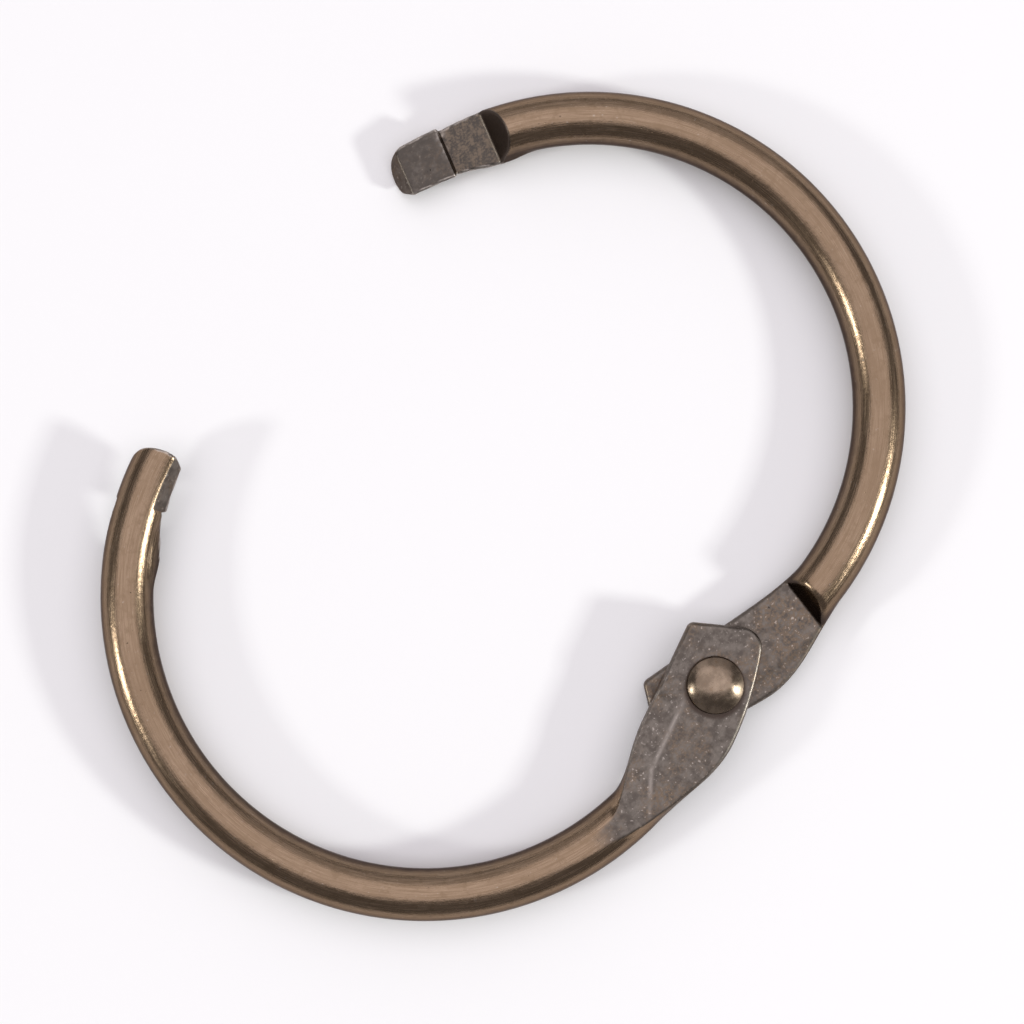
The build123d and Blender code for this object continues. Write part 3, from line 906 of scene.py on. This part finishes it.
def bronze_finish():
    """Dark coat and painted shade on the flanks, rubbed bronze above and below, grey pressed faces, worn
    edges with a painted highlight, a painted glint by the hook, streaks and pits."""
    f = Finish("antique_bronze")
    wire = f.note("wire_place", vector=True)
    height = f.height_of(wire)
    pressed = f.note("pressed")
    edge = f.note("edge")
    place = f.place()
    streaks = f.noise(f.stretched(wire, (0.30, 9.0, 9.0)), 2.0, 5.0, 0.6)
    fine_streaks = f.noise(f.stretched(wire, (1.1, 22.0, 22.0)), 2.2, 2.0, 0.6)
    patina = f.noise(place, 190.0, 4.0, 0.6)
    clouds = f.noise(place, 420.0, 5.0, 0.6)
    mottle = f.noise(place, 2400.0, 3.0, 0.62)
    grain = f.noise(place, 6200.0, 3.0, 0.6)
    speckle = f.math("MULTIPLY_ADD", f.noise(place, 9500.0, 2.0, 0.7), 0.5, f.math("MULTIPLY", mottle, 0.5))
    # Painted shade: the bronze gives way to the dark colour towards the wire's flanks, for the dark coat and
    # for the dim room that the flanks mirror.
    rub_and_shade_height = f.math("DIVIDE", f.math("ABSOLUTE", height), WIRE_RADIUS)
    rub_and_shade_height = f.math("ADD", rub_and_shade_height, f.math("MULTIPLY", f.math("SUBTRACT", streaks, 0.5), 0.20))
    rub_and_shade_height = f.math("ADD", rub_and_shade_height, f.math("MULTIPLY", f.math("SUBTRACT", mottle, 0.5), 0.30))
    top = f.step(rub_and_shade_height, 0.18, 0.74)
    bronze = f.blend(f.step(streaks, 0.30, 0.70), BRONZE_DEEP, BRONZE)
    bronze = f.blend(f.step(fine_streaks, 0.36, 0.64), f.blend(0.30, bronze, BRONZE_DEEP), bronze)
    bronze = f.blend(f.step(mottle, 0.50, 0.68, 0.0, 0.7), bronze, BRONZE_DEEP)
    bronze = f.blend(f.step(patina, 0.42, 0.66, 0.0, 0.55), bronze, BRONZE_DEEP)
    wire_colour = f.blend(top, COAT_AND_SHADE_DARK, bronze)
    wire_colour = f.blend(f.step(grain, 0.66, 0.76, 0.0, 0.3), wire_colour, RUBBED_AND_HIGHLIGHT)
    grey = f.blend(f.step(mottle, 0.32, 0.66), GUNMETAL, GUN_DARK)
    grey = f.blend(f.math("MULTIPLY", f.step(clouds, 0.44, 0.62), f.step(grain, 0.42, 0.58)), grey, GUN_BROWN)
    grey = f.blend(f.step(grain, 0.61, 0.71, 0.0, 0.42), grey, RUBBED_AND_HIGHLIGHT)
    grey = f.blend(f.note("notch"), grey, f.blend(f.step(speckle, 0.40, 0.60), LAND_DARK, NOTCH_BROWN))
    grey = f.blend(f.math("MULTIPLY", f.note("land"), f.step(mottle, 0.30, 0.60, 0.55, 0.9)), grey, LAND_DARK)
    # Painted highlight: glints on the cut beside the hook, broken up by noise.
    painted_glint = f.math("MULTIPLY", f.note("painted_glint"), f.step(patina, 0.46, 0.60))
    grey = f.blend(f.math("MULTIPLY", painted_glint, f.step(mottle, 0.40, 0.62)), grey, RUBBED_AND_HIGHLIGHT)
    metal = f.blend(pressed, wire_colour, grey)
    uneven = f.math("MULTIPLY", f.math("SUBTRACT", mottle, 0.5), 0.16)
    # Worn edges are rubbed lighter, which also paints the highlight that the edges catch.
    worn_and_highlight = f.step(f.math("ADD", edge, uneven), 0.085, 0.20)
    metal = f.blend(f.math("MULTIPLY", worn_and_highlight, 0.8), metal, RUBBED_AND_HIGHLIGHT)
    crease = f.math("MULTIPLY", f.note("crease"), f.step(mottle, 0.30, 0.60, 0.0, 0.34))
    metal = f.blend(crease, metal, RUBBED_AND_HIGHLIGHT)
    # Painted shade in hollows: concave places take the dark coat, which also stands for the shade that falls
    # there.
    hollow = f.step(edge, -0.03, -0.12)
    metal = f.blend(f.math("MULTIPLY", hollow, 0.9), metal, COAT_AND_SHADE_DARK)
    # Painted shade: the shoulder, the step face, the cut end and the ring round the rivet's head take the
    # dark colour, for the coat and for the shade there.
    metal = f.blend(f.math("MULTIPLY", f.note("coat_and_shade"), 0.95), metal, COAT_AND_SHADE_DARK)
    pits = f.math("MULTIPLY", f.step(grain, 0.30, 0.24), f.step(clouds, 0.44, 0.58))
    metal = f.blend(pits, metal, PIT)
    f.feed(f.shader.inputs["Base Color"], metal)
    f.shader.inputs["Metallic"].default_value = 1.0
    f.shader.inputs["Specular Tint"].default_value = EDGE_TINT
    rough = f.math("ADD", f.step(streaks, 0.3, 0.7, 0.19, 0.30), f.math("MULTIPLY", pressed, 0.15))
    rough = f.math("ADD", rough, f.math("MULTIPLY", pits, 0.3))
    rough = f.math("SUBTRACT", rough, f.math("MULTIPLY", worn_and_highlight, 0.10))
    f.feed(f.shader.inputs["Roughness"], rough)
    level = f.math("ADD", f.math("MULTIPLY", streaks, 0.7), f.math("MULTIPLY", fine_streaks, 0.3))
    normal = f.bump(level, STREAK_BUMP, 0.5)
    level = f.math("ADD", f.math("MULTIPLY", grain, 0.4), f.math("MULTIPLY", mottle, 0.6))
    level = f.math("SUBTRACT", level, pits)
    normal = f.bump(level, PIT_BUMP, 0.6, normal)
    f.feed(f.shader.inputs["Normal"], normal)
    return f.material


def rivet_finish():
    """Bronze that was rubbed brighter on the dome, with clouds, dark specks and a dark rim of coat and
    painted shade.
    """
    f = Finish("rivet_bronze")
    place = f.place()
    edge = f.note("edge")
    clouds = f.noise(place, 900.0, 5.0, 0.62)
    grain = f.noise(place, 5200.0, 3.0, 0.6)
    metal = f.blend(f.step(clouds, 0.36, 0.64), DOME_DULL, DOME_BRIGHT)
    metal = f.blend(f.step(grain, 0.58, 0.68, 0.0, 0.6), metal, BRONZE_DEEP)
    # Painted shade: the rivet's hollows take the dark coat, which also stands for their shade.
    metal = f.blend(f.step(edge, -0.02, -0.10), metal, COAT_AND_SHADE_DARK)
    f.feed(f.shader.inputs["Base Color"], metal)
    f.shader.inputs["Metallic"].default_value = 1.0
    f.shader.inputs["Specular Tint"].default_value = EDGE_TINT
    f.feed(f.shader.inputs["Roughness"], f.step(clouds, 0.3, 0.7, 0.22, 0.34))
    f.feed(f.shader.inputs["Normal"], f.bump(f.math("ADD", grain, clouds), DOME_BUMP, 0.5))
    return f.material


bronze = bronze_finish()
for half in (upper_half, lower_half):
    half.data.materials.clear()
    half.data.materials.append(bronze)
hinge_rivet.data.materials.append(rivet_finish())
print("nodes in the wire's finish:", len(bronze.node_tree.nodes))

# %% [markdown]
# ## Who moves with whom
# Each piece stands for its solid and rides on that solid's body. The rivet is fixed in the lower half.

# %% Ride and replace
for piece, node, body, slot in (
    (upper_half, "upper_half_ring", "upper_half", "half_ring"),
    (lower_half, "lower_half_ring", "lower_half", "half_ring"),
    (hinge_rivet, "hinge_rivet", "lower_half", "rivet"),
):
    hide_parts(node)
    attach(piece, body)
    print(piece.name, "stands for", node, "on", body)

# %% [markdown]
# ## Floor
# The ring lies on plain white card. One flat square is enough for it, much wider than the picture, so that
# no edge of it shows from any side. It is part of the stage and not of the ring.

# %% Floor
FLOOR_SIZE = 3.0
CARD_WHITE = colour(0.900, 0.895, 0.900)
side = FLOOR_SIZE / 2
corners = [(-side, -side, 0), (side, -side, 0), (side, side, 0), (-side, side, 0)]
floor_mesh = bpy.data.meshes.new("floor")
floor_mesh.from_pydata(corners, [], [(0, 1, 2, 3)])
floor = bpy.data.objects.new("floor", floor_mesh)
bpy.context.scene.collection.objects.link(floor)
card = Finish("white_card")
card.shader.inputs["Base Color"].default_value = CARD_WHITE
card.shader.inputs["Roughness"].default_value = 0.9
card.shader.inputs["Specular IOR Level"].default_value = 0.1
floor_mesh.materials.append(card.material)
print("floor of", FLOOR_SIZE, "m")

# %% [markdown]
# ## Light and camera
# Metal shows what is round it, so the lights are chosen for what the wire mirrors. A wide pale ceiling gives
# the broad light stripe on top, and a dimmer screen behind lights the far side. The side that faces the
# front mirrors a dim room, and is dark. Two small lamps, one to the right and a weaker one to the left, draw
# the thin bright lines along the wire and the two shadows. The camera looks straight down, turned so that
# the ring lies as it does in the photograph.

# %% Lights and camera
PHOTO_TURN = math.radians(48.7)   # from the ring's own axes to the picture's
VIEW_WIDTH = 0.0455          # of the picture at the ring's top, in metres
LENS = 100.0                 # in millimetres, as is the sensor's width
SENSOR = 36.0
ROOM_TINT = colour(0.985, 0.955, 1.0)
ROOM_LIGHT = 0.22


def to_ring(x, y, z):
    """A place given in the picture's axes, turned into the ring's."""
    cosine, sine = math.cos(PHOTO_TURN), math.sin(PHOTO_TURN)
    return Vector((x * cosine + y * sine, y * cosine - x * sine, z))


def soft_box(name, place, size_x, size_y, watts, tint):
    """A rectangular area light that looks at the ring."""
    lamp = bpy.data.lights.new(name, "AREA")
    lamp.shape = "RECTANGLE"
    lamp.size = size_x
    lamp.size_y = size_y
    lamp.energy = watts
    lamp.color = tint
    light = bpy.data.objects.new(name, lamp)
    light.location = to_ring(*place)
    light.rotation_mode = "QUATERNION"
    light.rotation_quaternion = (-light.location).to_track_quat("-Z", "Y")
    bpy.context.scene.collection.objects.link(light)
    print(name, "of", watts, "W, at", round(light.location.length, 2), "m from the ring")


soft_box("right_lamp", (0.384, -0.114, 0.204), 0.06, 0.045, 0.95, (0.97, 1.0, 0.96))
soft_box("left_lamp", (-0.384, -0.114, 0.204), 0.06, 0.045, 0.50, (0.98, 1.0, 0.97))
soft_box("ceiling", (0.0, 0.145, 0.68), 1.4, 0.91, 4.85, (1.0, 0.955, 1.0))
soft_box("back_screen", (0.0, 0.62, 0.33), 1.2, 0.45, 0.76, (1.0, 0.96, 1.0))

world = bpy.data.worlds.new("pale_room")
bpy.context.scene.world = world
world.use_nodes = True
world.node_tree.nodes["Background"].inputs["Color"].default_value = ROOM_TINT
world.node_tree.nodes["Background"].inputs["Strength"].default_value = ROOM_LIGHT

lens = bpy.data.cameras.new("camera")
lens.lens = LENS
lens.sensor_width = SENSOR
lens.clip_start = 0.001
camera = bpy.data.objects.new("camera", lens)
bpy.context.scene.collection.objects.link(camera)
middle = (cad_low + cad_high) / 2
camera.location = Vector((middle.x, middle.y, cad_high.z + VIEW_WIDTH * LENS / SENSOR))
camera.rotation_euler = (0, 0, -PHOTO_TURN)
bpy.context.scene.camera = camera
bpy.context.scene.view_settings.view_transform = "Standard"
